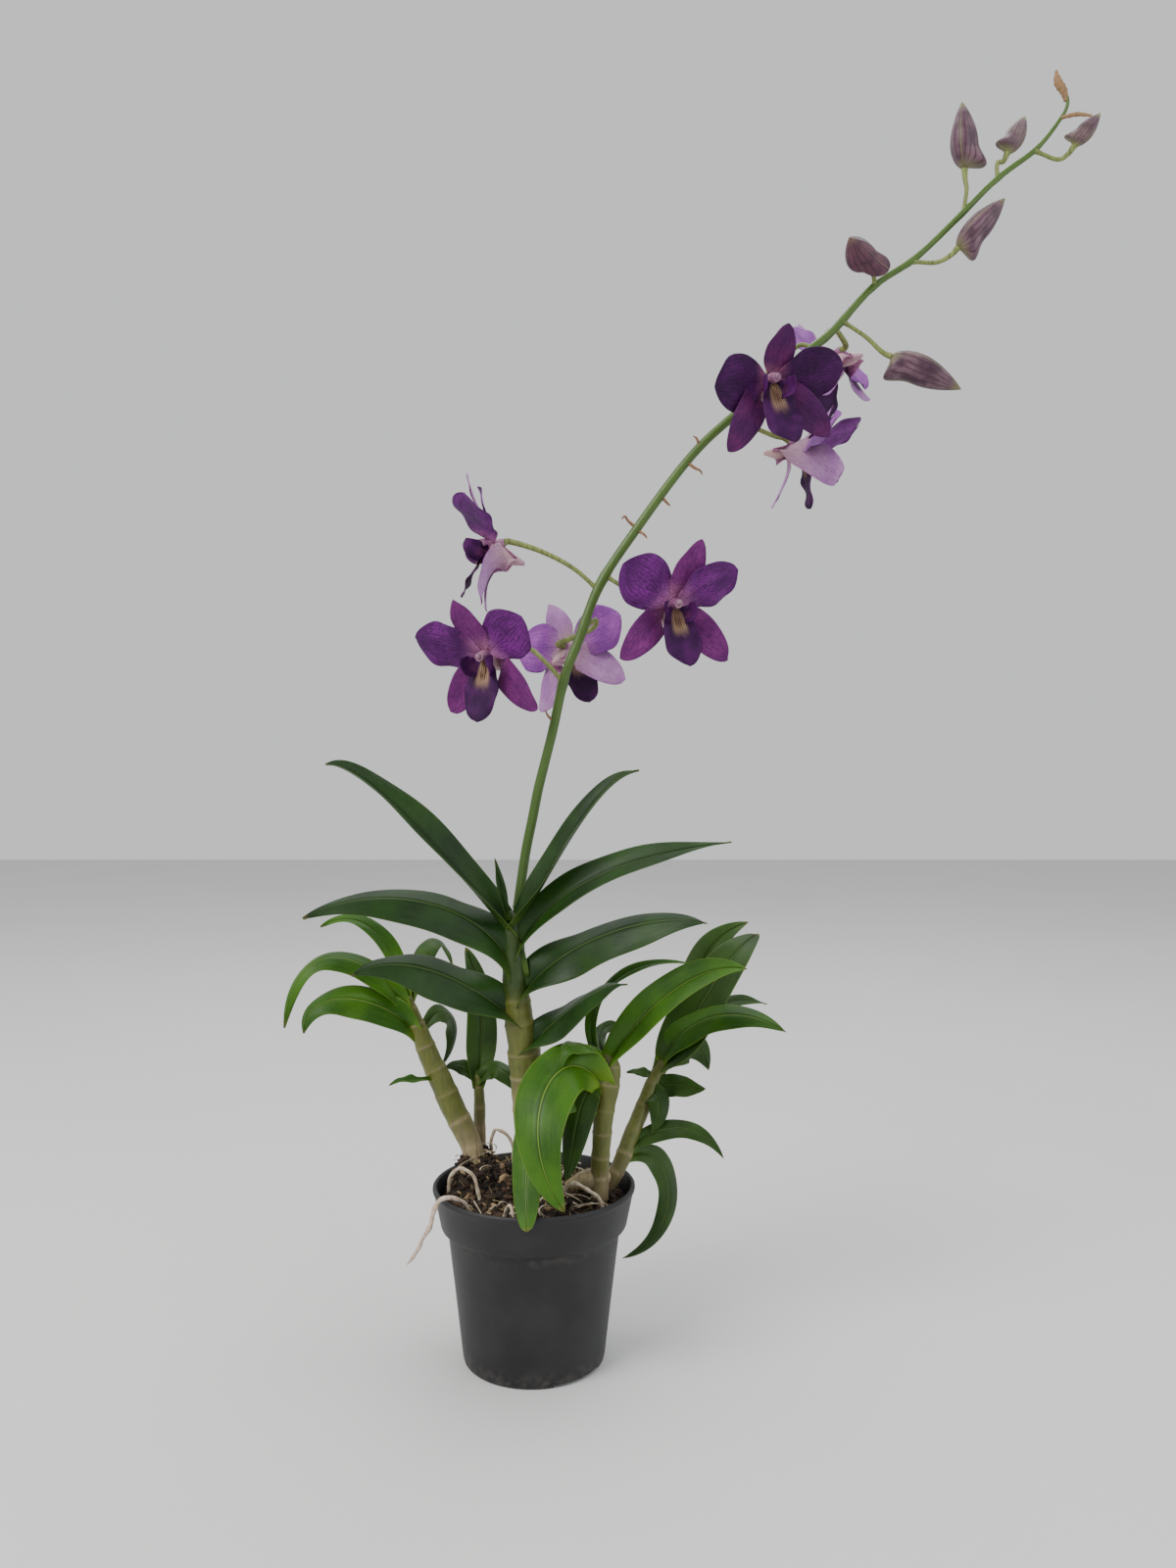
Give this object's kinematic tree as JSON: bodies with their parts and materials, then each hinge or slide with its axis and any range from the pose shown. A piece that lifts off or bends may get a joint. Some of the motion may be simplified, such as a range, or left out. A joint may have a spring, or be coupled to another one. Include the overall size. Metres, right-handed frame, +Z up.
{
  "type": "potted orchid",
  "caption": "Dendrobium orchid with purple flowers on an arching spray, standing in a small dark nursery pot of bark.",
  "frame": {"origin": "centre of the underside of the pot's floor, on the surface it stands on", "axes": "+Z up the plant, +X the way the flower spray leans, -Y toward the viewer of the picture"},
  "size_m": [0.4235, 0.1354, 0.6661],
  "materials": {
    "pot_plastic": "matt moulded plastic",
    "bark_mix": "rough and crumbly",
    "leaf_dark": "satin, waxy, fleshy",
    "leaf_bright": "satin, waxy, fleshy",
    "stalk_green": "satin",
    "petal_purple": "velvety",
    "bud_mauve": "satin",
    "root_pale": "dry and matt"
  },
  "bodies": {
    "root": {"bloom_1": "petal_purple", "bloom_2": "petal_purple", "bloom_3": "petal_purple", "bloom_4": "petal_purple", "bloom_5": "petal_purple", "bloom_6": "petal_purple", "bloom_7": "petal_purple", "bud_1": "bud_mauve", "bud_2": "bud_mauve", "bud_3": "bud_mauve", "bud_4": "bud_mauve", "bud_5": "bud_mauve", "bud_6": "bud_mauve", "flower_stem": "stalk_green", "pot": "pot_plastic", "potting_mix": "bark_mix", "root_back_arc": "root_pale", "root_hook": "root_pale", "root_left_loop": "root_pale", "root_over_rim": "root_pale", "root_right": "root_pale", "shoot_back": "leaf_dark", "shoot_left": "leaf_bright", "shoot_main": "leaf_dark", "shoot_right_back": "leaf_bright", "shoot_right_front": "leaf_bright"}
  },
  "joints": []
}
